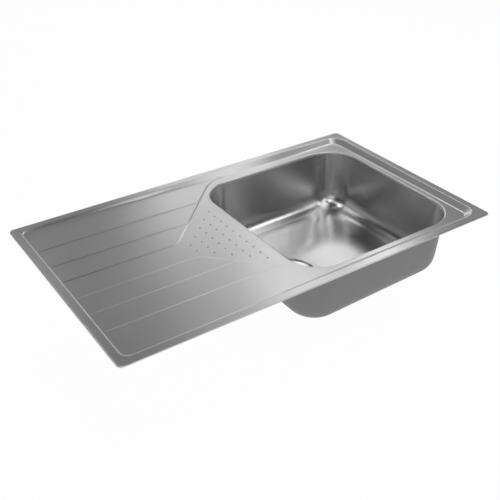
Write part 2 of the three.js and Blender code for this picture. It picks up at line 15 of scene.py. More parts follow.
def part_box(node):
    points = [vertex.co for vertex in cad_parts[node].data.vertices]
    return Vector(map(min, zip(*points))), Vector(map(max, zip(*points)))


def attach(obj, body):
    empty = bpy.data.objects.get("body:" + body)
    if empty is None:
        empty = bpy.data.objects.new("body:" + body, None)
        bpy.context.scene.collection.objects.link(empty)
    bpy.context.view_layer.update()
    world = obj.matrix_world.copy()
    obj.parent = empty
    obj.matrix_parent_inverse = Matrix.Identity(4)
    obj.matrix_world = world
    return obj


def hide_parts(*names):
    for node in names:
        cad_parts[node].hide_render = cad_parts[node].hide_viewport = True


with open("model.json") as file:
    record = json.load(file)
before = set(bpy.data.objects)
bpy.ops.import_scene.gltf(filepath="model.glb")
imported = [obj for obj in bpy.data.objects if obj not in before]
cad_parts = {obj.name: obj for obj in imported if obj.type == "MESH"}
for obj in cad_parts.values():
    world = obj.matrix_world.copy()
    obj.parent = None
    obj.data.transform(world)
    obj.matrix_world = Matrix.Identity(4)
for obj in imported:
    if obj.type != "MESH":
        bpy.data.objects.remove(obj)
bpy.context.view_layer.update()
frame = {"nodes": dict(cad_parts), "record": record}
scene = bpy.context.scene
MM = 0.001

# ---------------------------------------------------------------- sizes, in millimetres

deck_low, deck_high = (np.array(corner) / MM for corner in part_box("deck"))
LEFT, FRONT, _ = deck_low
RIGHT, BACK, FLANGE_TOP = deck_high
SHEET = 0.8
EDGE_TOP = 1.0  # height of the flange's outer edge
EDGE_ROLL, ROLL_POWER = 1.8, 2.6  # width of the rolled-down edge, and how full its curve is
OUTER_CORNER = 10
FLANGE = 16.8

# slope from the flange down into the recess: steep at the drainer's left end, gentle elsewhere
SLOPE, DRAINER_SLOPE = math.tan(math.radians(34.5)), math.tan(math.radians(54))
DRAINER_CORNER, BOWL_END_CORNER = 18, 34
SLOPE_TURNS, SLOPE_TURN_REACH = -120, 60  # place along X where it turns gentle, half the way it takes
SIDE_BAND, SIDE_BAND_REACH = 8, 7  # the same, as a distance from the front and the back slope
FILLET = 0.5  # softness of the slope's foot and head
LEVEL_FLANGE = 4  # from this far outside the slope the flange is level

# drainer: panels that step down from the front and from the back to the middle one
PANEL_START = LEFT + 21
DRAINER_HIGH, DRAINER_FALL = -0.1, 0.01
PANEL_STEP = 0.75  # a little more than the solid's, so that the thin lines show
FRONT_RIDGES, BACK_RIDGES = [98.8, 157.5, 214.1], [274, 332.2, 396.1]  # from the front edge
FRONT_STEP, BACK_STEP = 1.5, 0.95  # half the width of a step between panels
PANEL_SOFT = 0.05

# bowl
LIP = 4
MOUTH_LEFT, MOUTH_RIGHT = -19, 389
MOUTH_FRONT, MOUTH_BACK = FRONT + 41, FRONT + 451
BOWL_CORNER = 76
TAPER = math.tan(math.radians(4))
COVE = 42
FLOOR = -157  # at the drain
FLOOR_FALL, FLOOR_RISE = 1.2, 7  # the floor's left edge above it, and the right edge above that
WALL_FOOT = FLOOR + COVE + FLOOR_RISE + 4  # lowest row of the straight walls
BOWL_TOP = (np.array(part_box("bowl")[1]) / MM)[2]
DRAIN = np.array([93, FRONT + 242])
RECESS_EDGE, RECESS_RADIUS, RECESS_DEPTH, DRAIN_HOLE = 60, 57, 6, 45
RECESS_TURN, TURN_SHIFT = 1.8, 0.6  # radius of the recess's turns, and their shift as a share of it
RECESS_LAND, RIM_LAND = 2.5, 3  # level rings round the recess
RECESS_FLOOR_INSET, HOLE_LAND = 4, 3  # level rings inside it

# land round the bowl, and the funnel that runs down to it from the middle panel
SURROUND = -6.5
FUNNEL_OPEN, FUNNEL_FOOT, FUNNEL_APEX = MOUTH_LEFT - 151, MOUTH_LEFT - 3, MOUTH_LEFT - 172.5
FUNNEL_STARTS = FUNNEL_OPEN - 20
FUNNEL_MIDDLE = FRONT + 249.5
FUNNEL_BEND = MOUTH_LEFT + 19
FUNNEL_TURN = [(14, 11.5), (28, 19.5), (43, 25), (60, 29)]  # run and rise on from the bend
FUNNEL_ROUND = 14  # radius of the border's corners
FUNNEL_EDGE = 1.8  # half the width of the funnel's border step
FUNNEL_SOFT, FUNNEL_FOOT_SOFT = 0.15, 0.3
OVERRUN, OVERRUN_RISE = 50, 40  # how far the border lines run on past the sink
BUMP_PITCH, BUMP_COLUMNS = (25.2, 24), [10, 8, 6, 4, 2]
BUMP_X, BUMP_Y = MOUTH_LEFT - 27.6, FRONT + 244
BUMP_RADIUS, BUMP_HEIGHT = 2.6, 2.0

# outlines as lowest and highest X, lowest and highest Y
DECK = (LEFT, RIGHT, FRONT, BACK)
RECESS = (LEFT + FLANGE, RIGHT - FLANGE, FRONT + FLANGE, BACK - FLANGE)
MOUTH = (MOUTH_LEFT, MOUTH_RIGHT, MOUTH_FRONT, MOUTH_BACK)

# ---------------------------------------------------------------- rows and spacings of the meshes

EDGE_RINGS = (0, 0.15, 0.4, 0.8, 1.2, EDGE_ROLL, 3)
SLOPE_RINGS = (-2, -0.8, 0, 0.6, 1.2, 1.8, 2.4, 3.2, 4.2, 6, 8, 10, 12, 13.5, 15, 17)
RING_SPACING = 6
MOUTH_SPACING, LAND_RING, LAND_SPACING = 4, -3, 5
CREASE_ROWS = (-1, -0.5, 0, 0.5, 1)  # shares of a step's half width
PANEL_LINE_INSET, PANEL_LINE_SHORTEST, PANEL_LINE_POINTS = 8, 50, 40
BORDER_LEAD = 8  # points of a border line up to its bend, where the panel lines may end
BORDER_FINE, BORDER_SPACING = 2, 4
BORDER_FROM_SLOPE, BORDER_FROM_MOUTH, BORDER_END = 4, 1, MOUTH_LEFT + 150
BUMP_RINGS, BUMP_SIDES = (1.12, 0.9, 0.7, 0.5, 0.3), 14
GRID, GRID_FROM_SLOPE, GRID_FROM_MOUTH, GRID_FROM_BUMP = 9, 20, 6, 1
MERGE_DISTANCE, EDGE_TOLERANCE, RIM_REACH = 1e-4, 0.02, 0.1
SMALLEST_CORNER, FEWEST_ARC_STEPS = 0.5, 6
NORMAL_STEP = 0.08
LIP_ROWS = 9
BOWL_CORNER_STEPS, BOWL_SIDE_STEPS = 22, 26
WALL_ROWS, COVE_ROWS, FLOOR_ROWS, TURN_ROWS = 9, 15, 13, 6
BOWL_SHARP_ANGLE, CAD_SHARP_ANGLE = math.radians(40), math.radians(32)

# ---------------------------------------------------------------- height of the deck's upper face


def smooth_max(a, b, soft):
    return (a + b + np.sqrt((a - b) ** 2 + soft ** 2)) / 2


def ease(share):
    return share * share * (3 - 2 * share)


def smooth_step(value, half_width):
    return ease(np.clip((value + half_width) / (2 * half_width), 0, 1))


def inset_from(x, y, box, left_corner, right_corner):
    """Distance inwards from a rounded rectangle, negative outside it."""
    x0, x1, y0, y1 = box
    middle_x, middle_y = (x0 + x1) / 2, (y0 + y1) / 2
    corner = np.where(x > middle_x, right_corner, left_corner)
    px = np.abs(x - middle_x) - ((x1 - x0) / 2 - corner)
    py = np.abs(y - middle_y) - ((y1 - y0) / 2 - corner)
    outside = np.hypot(np.maximum(px, 0), np.maximum(py, 0))
    return corner - outside - np.minimum(np.maximum(px, py), 0)


def from_edge(x, y):
    return inset_from(x, y, DECK, OUTER_CORNER, OUTER_CORNER)


def from_slope(x, y):
    return inset_from(x, y, RECESS, DRAINER_CORNER, BOWL_END_CORNER)


def from_mouth(x, y):
    return inset_from(x, y, MOUTH, BOWL_CORNER, BOWL_CORNER)


def funnel_outline():
    """Border of the middle panel and funnel as an upper and a lower line, left to right."""
    reach = FUNNEL_BEND - FUNNEL_APEX
    upper_y, lower_y = FRONT + BACK_RIDGES[0], FRONT + FRONT_RIDGES[-1]
    upper = [(LEFT - OVERRUN, upper_y), (FUNNEL_APEX + upper_y - FUNNEL_MIDDLE, upper_y)]
    lower = [(LEFT - OVERRUN, lower_y), (FUNNEL_APEX + FUNNEL_MIDDLE - lower_y, lower_y)]
    for run, rise in [(0, 0), *FUNNEL_TURN]:
        upper.append((FUNNEL_BEND + run, FUNNEL_MIDDLE + reach + rise))
        lower.append((FUNNEL_BEND + run, FUNNEL_MIDDLE - reach - rise))
    upper.append((RIGHT + OVERRUN, upper[-1][1] + OVERRUN_RISE))
    lower.append((RIGHT + OVERRUN, lower[-1][1] - OVERRUN_RISE))
    return np.array(upper), np.array(lower)


def rounded_line(points, radius, steps=6, most=0.45):
    """The line with its inner corners turned into arcs, each over at most that share of a side."""
    done = [points[0]]
    for before, corner, after in zip(points, points[1:], points[2:]):
        a, b = before - corner, after - corner
        a_length, b_length = np.linalg.norm(a), np.linalg.norm(b)
        cut = min(radius, most * a_length, most * b_length)
        start, end = corner + a / a_length * cut, corner + b / b_length * cut
        for t in np.linspace(0, 1, steps):
            done.append((1 - t) ** 2 * start + 2 * t * (1 - t) * corner + t * t * end)
    done.append(points[-1])
    return np.array(done)


UPPER, LOWER = (rounded_line(line, FUNNEL_ROUND) for line in funnel_outline())


def side_of(x, y, line):
    """Distance from a line that runs left to right, positive above it."""
    best = np.full(np.shape(x), np.inf)
    for (ax, ay), (bx, by) in zip(line, line[1:]):
        dx, dy = bx - ax, by - ay
        t = np.clip(((x - ax) * dx + (y - ay) * dy) / (dx * dx + dy * dy), 0, 1)
        best = np.minimum(best, np.hypot(x - ax - t * dx, y - ay - t * dy))
    sign = np.where(y > np.interp(x, line[:, 0], line[:, 1]), 1, -1)
    return best * sign


def panel_level(x, steps_down):
    return DRAINER_HIGH - steps_down * PANEL_STEP - DRAINER_FALL * (x - PANEL_START)


MIDDLE_STEPS = len(FRONT_RIDGES)
OPEN_LEVEL = panel_level(FUNNEL_OPEN, MIDDLE_STEPS)


def bump_places():
    for column, count in enumerate(BUMP_COLUMNS):
        for i in range(count):
            yield BUMP_X - column * BUMP_PITCH[0], BUMP_Y + (i - (count - 1) / 2) * BUMP_PITCH[1]


def recess_floor(x, y):
    """Height of the panels, the funnel with its bumps, and the land round the bowl."""
    depth = sum(smooth_step(y - FRONT - ridge, FRONT_STEP) for ridge in FRONT_RIDGES)
    depth = depth - sum(smooth_step(y - FRONT - ridge, BACK_STEP) for ridge in BACK_RIDGES)
    panels = smooth_max(panel_level(x, depth), SURROUND, PANEL_SOFT)

    share = (x - FUNNEL_OPEN) / (FUNNEL_FOOT - FUNNEL_OPEN)
    slide = OPEN_LEVEL + (SURROUND - OPEN_LEVEL) * share
    middle = panel_level(x, MIDDLE_STEPS)
    funnel = np.where(x < FUNNEL_STARTS, middle, -smooth_max(-middle, -slide, FUNNEL_SOFT))
    funnel = smooth_max(funnel, SURROUND, FUNNEL_FOOT_SOFT)

    above_lower = smooth_step(side_of(x, y, LOWER), FUNNEL_EDGE)
    below_upper = smooth_step(-side_of(x, y, UPPER), FUNNEL_EDGE)
    inside = above_lower * below_upper
    floor = panels * (1 - inside) + funnel * inside
    for bump_x, bump_y in bump_places():
        reach = np.hypot(x - bump_x, y - bump_y) / BUMP_RADIUS
        floor = floor + BUMP_HEIGHT * (np.cos(math.pi * np.minimum(reach, 1)) + 1) / 2
    return floor


def deck_height(x, y):
    x, y = np.asarray(x, float), np.asarray(y, float)
    recess = from_slope(x, y)
    along_side = np.abs(y - (FRONT + BACK) / 2) - (BACK - FRONT) / 2 + FLANGE + SIDE_BAND
    gentle = np.maximum(smooth_step(x - SLOPE_TURNS, SLOPE_TURN_REACH),
                        smooth_step(along_side, SIDE_BAND_REACH))
    steepness = DRAINER_SLOPE + (SLOPE - DRAINER_SLOPE) * gentle
    slope = FLANGE_TOP - recess * steepness
    land = smooth_max(slope, recess_floor(x, y), FILLET)
    top = -smooth_max(-land, -FLANGE_TOP, FILLET / 2)
    top = np.where(recess < -LEVEL_FLANGE, FLANGE_TOP, top)
    roll = np.clip(1 - from_edge(x, y) / EDGE_ROLL, 0, 1)
    return top - (FLANGE_TOP - EDGE_TOP) * (1 - np.sqrt(np.maximum(1 - roll ** ROLL_POWER, 0)))


def deck_normals(points):
    """Normals of the deck's upper face at points [x, y], by small differences."""
    x, y, h = points[:, 0], points[:, 1], NORMAL_STEP
    dx = (deck_height(x + h, y) - deck_height(x - h, y)) / (2 * h)
    dy = (deck_height(x, y + h) - deck_height(x, y - h)) / (2 * h)
    normals = np.stack([-dx, -dy, np.ones_like(dx)], 1)
    return normals / np.linalg.norm(normals, axis=1, keepdims=True)


# ---------------------------------------------------------------- outlines and mesh helpers


def box_corners(box):
    """A box's corners anticlockwise from the back right, each with the angle its arc starts at."""
    x0, x1, y0, y1 = box
    return [((x1, y1), 0), ((x0, y1), 90), ((x0, y0), 180), ((x1, y0), 270)]


def corner_arc(box, corner, start, inset, radius, steps):
    """Points of one rounded corner of a box at an inset."""
    x0, x1, y0, y1 = box
    x, y = corner
    centre_x = x - math.copysign(inset + radius, x - (x0 + x1) / 2)
    centre_y = y - math.copysign(inset + radius, y - (y0 + y1) / 2)
    angles = [math.radians(start + 90 * i / steps) for i in range(steps + 1)]
    return [(centre_x + radius * math.cos(a), centre_y + radius * math.sin(a)) for a in angles]


def divided(start, end, parts):
    """Points that split the way from start to end into equal parts, without end itself."""
    return [(start[0] + (end[0] - start[0]) * i / parts, start[1] + (end[1] - start[1]) * i / parts)
            for i in range(parts)]


def rounded_ring(box, inset, left_corner, right_corner, spacing):
    """Points of a rounded rectangle at an inset, anticlockwise, at an even spacing."""
    points = []
    for corner, start in box_corners(box):
        full_radius = right_corner if corner[0] == box[1] else left_corner
        radius = max(full_radius - inset, SMALLEST_CORNER)
        steps = max(FEWEST_ARC_STEPS, round(math.pi * radius / 2 / spacing))
        points += corner_arc(box, corner, start, inset, radius, steps)
    filled = []
    for start, end in zip(points, points[1:] + points[:1]):
        length = math.dist(start, end)
        parts = max(1, round(length / spacing)) if length > 1.5 * spacing else 1
        filled += divided(start, end, parts)
    return filled


def offset_line(line, distance):
    tangent = np.gradient(line, axis=0)
    tangent /= np.linalg.norm(tangent, axis=1, keepdims=True)
    return line + distance * np.stack([-tangent[:, 1], tangent[:, 0]], 1)


def travelled(line):
    """Distance along a line of points to each of them."""
    return np.concatenate([[0], np.cumsum(np.linalg.norm(np.diff(line, axis=0), axis=1))])


def evenly(line, spacing):
    """The line with new points about this far apart."""
    reach = travelled(line)
    count = max(2, round(reach[-1] / spacing) + 1)
    at = np.linspace(0, reach[-1], count)
    return np.stack([np.interp(at, reach, line[:, 0]), np.interp(at, reach, line[:, 1])], 1)


def open_edges(triangles):
    """Edges that only one triangle has, in the direction in which it runs them."""
    edges = {}
    for t in triangles:
        for a, b in zip(t, np.roll(t, -1)):
            if (b, a) in edges:
                del edges[b, a]
            else:
                edges[a, b] = True
    return list(edges)


def new_piece(name, vertices, faces, body, replaced, grain, normals=None):
    """A mesh in millimetres as a piece that rides on a body and stands for CAD nodes.

    grain gives each face corner a place (across, along) the steel's brushed grain."""
    mesh = bpy.data.meshes.new(name)
    mesh.from_pydata([tuple(c * MM for c in v) for v in vertices], [], [list(f) for f in faces])
    layer = mesh.uv_layers.new(name="grain")
    layer.data.foreach_set("uv", np.asarray(grain, float).ravel())
    mesh.validate()
    mesh.polygons.foreach_set("use_smooth", [True] * len(mesh.polygons))
    if normals is not None:
        mesh.normals_split_custom_set_from_vertices([tuple(n) for n in normals])
    piece = bpy.data.objects.new(name, mesh)
    scene.collection.objects.link(piece)
    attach(piece, body)
    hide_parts(*replaced)
    return piece


# ---------------------------------------------------------------- deck


def deck_plan():
    """Points and triangles in plan, from the sink's edge to the mouth, that follow every crease."""
    points, edges = [], []

    def add_line(line, closed=False):
        start = len(points)
        points.extend(Vector((float(x), float(y))) for x, y in line)
        edges.extend((i, i + 1) for i in range(start, len(points) - 1))
        if closed:
            edges.append((len(points) - 1, start))

    for inset in EDGE_RINGS:
        add_line(rounded_ring(DECK, inset, OUTER_CORNER, OUTER_CORNER, RING_SPACING), True)
    for inset in SLOPE_RINGS:
        add_line(rounded_ring(RECESS, inset, DRAINER_CORNER, BOWL_END_CORNER, RING_SPACING), True)
    for inset, spacing in ((0, MOUTH_SPACING), (LAND_RING, LAND_SPACING)):
        add_line(rounded_ring(MOUTH, inset, BOWL_CORNER, BOWL_CORNER, spacing), True)

    line_start = RECESS[0] + PANEL_LINE_INSET
    for ridges, border, step in ((FRONT_RIDGES, LOWER, FRONT_STEP), (BACK_RIDGES, UPPER, BACK_STEP)):
        for ridge in ridges:
            y = FRONT + ridge
            if ridge in (FRONT_RIDGES[-1], BACK_RIDGES[0]):
                meets = FUNNEL_OPEN
            else:
                meets = border[BORDER_LEAD:, 0][np.argmin(np.abs(border[BORDER_LEAD:, 1] - y))]
            line_end = max(meets, line_start + PANEL_LINE_SHORTEST)
            along = np.linspace(line_start, line_end, PANEL_LINE_POINTS)
            for offset in CREASE_ROWS:
                add_line([(x, y + offset * step) for x in along])
    for line in (UPPER, LOWER):
        for offset in CREASE_ROWS:
            shifted = offset_line(evenly(line, BORDER_FINE), offset * FUNNEL_EDGE)
            shifted = evenly(shifted, BORDER_SPACING)
            x, y = shifted[:, 0], shifted[:, 1]
            keep = (from_slope(x, y) > BORDER_FROM_SLOPE) & (from_mouth(x, y) < -BORDER_FROM_MOUTH)
            keep &= x < BORDER_END
            add_line(shifted[keep])
    for bump_x, bump_y in bump_places():
        for share in BUMP_RINGS:
            radius = share * BUMP_RADIUS
            angles = np.linspace(0, 2 * math.pi, BUMP_SIDES, endpoint=False)
            ring = [(bump_x + radius * math.cos(a), bump_y + radius * math.sin(a)) for a in angles]
            add_line(ring, True)
        points.append(Vector((bump_x, bump_y)))
    for x in np.arange(LEFT + GRID, RIGHT, GRID):
        for y in np.arange(FRONT + GRID, BACK, GRID):
            nearest_bump = min(math.dist((x, y), place) for place in bump_places())
            if (from_mouth(x, y) < -GRID_FROM_MOUTH and from_slope(x, y) > GRID_FROM_SLOPE
                    and nearest_bump >= BUMP_RADIUS + GRID_FROM_BUMP):
                points.append(Vector((x, y)))

    placed, _, triangles, *_ = delaunay_2d_cdt(points, edges, [], 0, MERGE_DISTANCE)
    places = np.array([tuple(p) for p in placed])
    triangles = np.array([tuple(t) for t in triangles])
    centre_x, centre_y = places[triangles].mean(axis=1).T
    kept = (from_mouth(centre_x, centre_y) < 0) & (from_edge(centre_x, centre_y) > -EDGE_TOLERANCE)
    triangles = triangles[kept]
    used = np.unique(triangles)
    renumber = np.full(len(places), -1)
    renumber[used] = np.arange(len(used))
    return places[used], renumber[triangles]


def mouth_inward(x, y):
    """Unit direction from the bowl's mouth towards its inside."""
    x0, x1, y0, y1 = MOUTH
    centre_x = min(max(x, x0 + BOWL_CORNER), x1 - BOWL_CORNER)
    centre_y = min(max(y, y0 + BOWL_CORNER), y1 - BOWL_CORNER)
    dx, dy = centre_x - x, centre_y - y
    length = math.hypot(dx, dy)
    return dx / length, dy / length


def add_lip(vertices, normals, faces):
    """Adds the lip that turns down into the mouth: its upper face, its lower face and its edge.

    Returns how far the brushed grain has to run on, past Y, at each of its vertices."""
    run_on = {}
    mouth = rounded_ring(MOUTH, 0, BOWL_CORNER, BOWL_CORNER, MOUTH_SPACING)
    next_along = [(i, (i + 1) % len(mouth)) for i in range(len(mouth))]
    ends = []
    for radius, sign in ((LIP, 1), (LIP - SHEET, -1)):
        profile = [(radius * math.sin(tilt), SURROUND - LIP + radius * math.cos(tilt), tilt)
                   for tilt in np.linspace(0, math.pi / 2, LIP_ROWS)]
        profile.append((radius, BOWL_TOP, math.pi / 2))
        rows = []
        for inset, z, tilt in profile:
            row = []
            for x, y in mouth:
                inward_x, inward_y = mouth_inward(x, y)
                slant = [math.sin(tilt) * inward_x, math.sin(tilt) * inward_y, math.cos(tilt)]
                row.append(len(vertices))
                run_on[len(vertices)] = -z * inward_y
                vertices.append((x + inset * inward_x, y + inset * inward_y, z))
                normals.append(sign * np.array(slant))
            rows.append(row)
        for top, bottom in zip(rows, rows[1:]):
            for i, j in next_along:
                quad = (top[i], top[j], bottom[j], bottom[i])
                faces.append(quad if sign > 0 else quad[::-1])
        ends.append(rows[-1])
    upper_end, lower_end = ends
    for i, j in next_along:
        faces.append((upper_end[i], upper_end[j], lower_end[j], lower_end[i]))
    return run_on


def make_deck():
    places, triangles = deck_plan()
    upper = np.column_stack([places, deck_height(places[:, 0], places[:, 1])])
    lower = upper - [0, 0, SHEET]
    upper_normals = deck_normals(places)
    vertices, normals = [*upper, *lower], [*upper_normals, *(-upper_normals)]
    count = len(upper)
    faces = [tuple(t) for t in triangles] + [tuple(count + i for i in t[::-1]) for t in triangles]

    for a, b in open_edges(triangles):
        if from_edge(*places[a]) < RIM_REACH:
            base = len(vertices)
            direction = places[b] - places[a]
            outward = np.array([direction[1], -direction[0], 0]) / np.linalg.norm(direction)
            vertices += [upper[a], upper[b], lower[b], lower[a]]
            normals += [outward] * 4
            faces.append((base, base + 3, base + 2, base + 1))

    run_on = add_lip(vertices, normals, faces)
    across = [(v[1] + run_on.get(i, 0)) * MM for i, v in enumerate(vertices)]
    grain = [(across[i], vertices[i][0] * MM) for face in faces for i in face]
    return new_piece("pressed_deck", vertices, faces, "sink", ["deck"],
                     grain, normals)


# ---------------------------------------------------------------- bowl


def bowl_ring(inset, level):
    """Points of the bowl's plan at an inset; level gives the height at a place along X."""
    radius = BOWL_CORNER - inset
    arcs = [corner_arc(MOUTH, corner, start, inset, radius, BOWL_CORNER_STEPS)
            for corner, start in box_corners(MOUTH)]
    ring = []
    for arc, after in zip(arcs, arcs[1:] + arcs[:1]):
        ring += arc + divided(arc[-1], after[0], BOWL_SIDE_STEPS)[1:]
    return [(x, y, level(x)) for x, y in ring]


def edge_rise(x):
    """How far the floor's edge stands above the drain, at a place along X."""
    share = (x - MOUTH_LEFT - BOWL_CORNER) / (MOUTH_RIGHT - MOUTH_LEFT - 2 * BOWL_CORNER)
    share = min(max(share, 0), 1)
    return FLOOR_FALL + FLOOR_RISE * share


def recess_profile(offset):
    """Radius and height pairs from the flat floor into the drain recess and to its hole."""
    turn, low = RECESS_TURN, FLOOR - RECESS_DEPTH
    slant = math.atan2(RECESS_EDGE - RECESS_RADIUS, RECESS_DEPTH)
    head, foot = RECESS_EDGE + turn * TURN_SHIFT, RECESS_RADIUS - turn * TURN_SHIFT
    profile = [(RECESS_EDGE + RECESS_LAND, FLOOR)]
    for angle in np.linspace(0, math.pi / 2 - slant, TURN_ROWS):
        profile.append((head - turn * math.sin(angle), FLOOR - turn * (1 - math.cos(angle))))
    for angle in np.linspace(math.pi / 2 - slant, 0, TURN_ROWS):
        profile.append((foot + turn * math.sin(angle), low + turn * (1 - math.cos(angle))))
    for radius in (RECESS_RADIUS - RECESS_FLOOR_INSET, DRAIN_HOLE + HOLE_LAND, DRAIN_HOLE):
        profile.append((radius, low))
    return [(radius, z - offset) for radius, z in profile]


def bowl_rows(offset):
    """Rings of points from the bowl's top to its drain hole, at an offset into the sheet."""
    tilt = math.atan(TAPER)
    height = BOWL_TOP - FLOOR
    rows = []
    for z in np.linspace(BOWL_TOP, WALL_FOOT, WALL_ROWS):
        inset = LIP + (BOWL_TOP - z) * TAPER - offset / math.cos(tilt)
        rows.append(bowl_ring(inset, lambda x, z=z: z))
    cove_centre = LIP + (height - COVE) * TAPER + COVE / math.cos(tilt)
    for angle in np.linspace(tilt, math.pi / 2, COVE_ROWS):
        inset = cove_centre - (COVE + offset) * math.cos(angle)
        drop = COVE - (COVE + offset) * math.sin(angle)
        rows.append(bowl_ring(inset, lambda x, drop=drop: FLOOR + drop + edge_rise(x)))

    edge = np.array(rows[-1])
    directions = edge[:, :2] - DRAIN
    directions /= np.linalg.norm(directions, axis=1, keepdims=True)
    profile = recess_profile(offset)
    rim_radius = profile[0][0] + RIM_LAND
    rim = np.column_stack([DRAIN + directions * rim_radius, np.full(len(edge), FLOOR - offset)])
    for share in np.linspace(0, 1, FLOOR_ROWS)[1:]:
        row = edge + (rim - edge) * share
        row[:, 2] = edge[:, 2] + (rim[:, 2] - edge[:, 2]) * ease(share)
        rows.append([tuple(p) for p in row])
    for radius, z in profile:
        rows.append([(x, y, z) for x, y in DRAIN + directions * radius])
    return rows


def make_bowl():
    inner, outer = bowl_rows(0), bowl_rows(SHEET)
    rows = inner + outer[::-1]
    count = len(rows[0])
    vertices = [point for row in rows for point in row]
    middle = np.array([row[count // 2] for row in rows])
    reach = travelled(middle) * MM
    reach = np.append(reach, reach[-1] + SHEET * MM)
    faces, grain = [], []
    for r in range(len(rows)):
        after = (r + 1) % len(rows)
        for i in range(count):
            j = (i + 1) % count
            faces.append((r * count + i, r * count + j, after * count + j, after * count + i))
            grain += [(reach[r], i / count), (reach[r], (i + 1) / count),
                      (reach[r + 1], (i + 1) / count), (reach[r + 1], i / count)]
    bowl = new_piece("drawn_bowl", vertices, faces, "sink", ["bowl"], grain)
    bowl.data.set_sharp_from_angle(angle=BOWL_SHARP_ANGLE)
    # bright inside; outside a rougher finish whose dark colour is painted shade for the shadow under
    # the bowl
    for face in bowl.data.polygons:
        face.material_index = 1 if face.index // count >= len(inner) - 1 else 0
    return bowl


# ---------------------------------------------------------------- materials


def node_material(name):
    material = bpy.data.materials.new(name)
    material.use_nodes = True
    tree = material.node_tree
    shader = tree.nodes["Principled BSDF"]
    return material, tree, shader


def noise(tree, scale, stretch, detail, roughness):
    """Noise in object coordinates, stretched by the three scale factors."""
    place = tree.nodes.new("ShaderNodeTexCoord")
    mapping = tree.nodes.new("ShaderNodeMapping")
    mapping.inputs["Scale"].default_value = stretch
    texture = tree.nodes.new("ShaderNodeTexNoise")
    texture.inputs["Scale"].default_value = scale
    texture.inputs["Detail"].default_value = detail
    texture.inputs["Roughness"].default_value = roughness
    tree.links.new(place.outputs["Object"], mapping.inputs["Vector"])
    tree.links.new(mapping.outputs["Vector"], texture.inputs["Vector"])
    return texture.outputs["Fac"]


def spread(tree, value, low, high, out_low=0.0, out_high=1.0):
    node = tree.nodes.new("ShaderNodeMapRange")
    limits = {"From Min": low, "From Max": high, "To Min": out_low, "To Max": out_high}
    for name, number in limits.items():
        node.inputs[name].default_value = number
    tree.links.new(value, node.inputs["Value"])
    return node.outputs["Result"]


def blend_colours(tree, value, dark, light):
    ramp = tree.nodes.new("ShaderNodeValToRGB")
    ramp.color_ramp.elements[0].color = (*dark, 1)
    ramp.color_ramp.elements[1].color = (*light, 1)
    tree.links.new(value, ramp.inputs["Fac"])
    return ramp.outputs["Color"]


def bump(tree, shader, value, distance, strength=1.0):
    node = tree.nodes.new("ShaderNodeBump")
    node.inputs["Strength"].default_value = strength
    node.inputs["Distance"].default_value = distance
    tree.links.new(value, node.inputs["Height"])
    tree.links.new(node.outputs["Normal"], shader.inputs["Normal"])


EVEN = (1, 1, 1)
GRAIN_SCALE, TONE_SCALE = 900, 9
GRAIN_NOISE, TONE_NOISE, MOTTLE_NOISE = (3, 0.7), (2, 0.5), (5, 0.65)  # detail and roughness
GRAIN_RANGE, TONE_RANGE = (0.25, 0.75), (0.3, 0.7)  # values of the noise that are spread out
STEEL_VARIES, DULL_VARIES = (-0.03, 0.04), (-0.06, 0.06)  # around a material's own roughness
GRAIN_BUMP = 0.35


def brushed_steel(name, dark, light, rough, grain, bump_depth, drawn_out=0.0):
    """Metal with a fine directional grain and a slight, slow change of tone."""
    material, tree, shader = node_material(name)
    shader.inputs["Metallic"].default_value = 1.0
    if drawn_out:
        shader.inputs["Anisotropic"].default_value = drawn_out
        tangent = tree.nodes.new("ShaderNodeTangent")
        tangent.direction_type = "UV_MAP"
        tangent.uv_map = "grain"
        tree.links.new(tangent.outputs["Tangent"], shader.inputs["Tangent"])
    fine = noise(tree, GRAIN_SCALE, grain, *GRAIN_NOISE)
    slow = noise(tree, TONE_SCALE, EVEN, *TONE_NOISE)
    tone = blend_colours(tree, spread(tree, slow, *TONE_RANGE), dark, light)
    finish = spread(tree, fine, *GRAIN_RANGE, *(rough + change for change in STEEL_VARIES))
    tree.links.new(tone, shader.inputs["Base Color"])
    tree.links.new(finish, shader.inputs["Roughness"])
    bump(tree, shader, fine, bump_depth, GRAIN_BUMP)
    return material


def dull_material(name, dark, light, rough, scale, bump_depth, metallic=0.0):
    """Plastic, rubber, foam or a dull metal skin with a mottled surface."""
    material, tree, shader = node_material(name)
    shader.inputs["Metallic"].default_value = metallic
    mottle = noise(tree, scale, EVEN, *MOTTLE_NOISE)
    tone = blend_colours(tree, spread(tree, mottle, *TONE_RANGE), dark, light)
    finish = spread(tree, mottle, *TONE_RANGE, *(rough + change for change in DULL_VARIES))
    tree.links.new(tone, shader.inputs["Base Color"])
    tree.links.new(finish, shader.inputs["Roughness"])
    bump(tree, shader, mottle, bump_depth)
    return material


def grey(value, blue=None):
    """A neutral colour, or one with its own share of blue."""
    return value, value, value if blue is None else blue


# the small factor of a steel's grain lies along the lines that the brush left
deck_steel = brushed_steel("deck_steel", grey(0.62), grey(0.65), 0.31, (0.02, 1, 1), 0.0000005, 0.85)
bowl_steel = brushed_steel("bowl_steel", grey(0.61), grey(0.65), 0.24, (1, 1, 0.03), 0.0000005, 0.5)
# outside of the bowl: a rough unpolished finish, its dark grey colour painted shade for the shadow
# under the bowl
painted_shade_under_steel = dull_material("painted_shade_under_steel", grey(0.24, 0.245), grey(0.28, 0.285), 0.5, 260, 0.00002, 0.5)
polished = brushed_steel("polished_steel", grey(0.64, 0.65), grey(0.70, 0.71), 0.14, (1, 1, 0.1),
                         0.00001)
zinc = dull_material("zinc", (0.50, 0.51, 0.53), (0.62, 0.63, 0.65), 0.38, 90, 0.00002, 1.0)
rubber = dull_material("rubber", grey(0.018, 0.019), grey(0.032, 0.034), 0.62, 400, 0.00004)
foam = dull_material("foam", grey(0.09, 0.095), grey(0.15, 0.155), 0.9, 900, 0.0002)
felt = dull_material("felt", grey(0.075, 0.08), grey(0.13, 0.135), 0.92, 700, 0.0002)
white_plastic = dull_material("white_plastic", grey(0.76, 0.75), grey(0.82, 0.81), 0.42, 500, 0.00002)
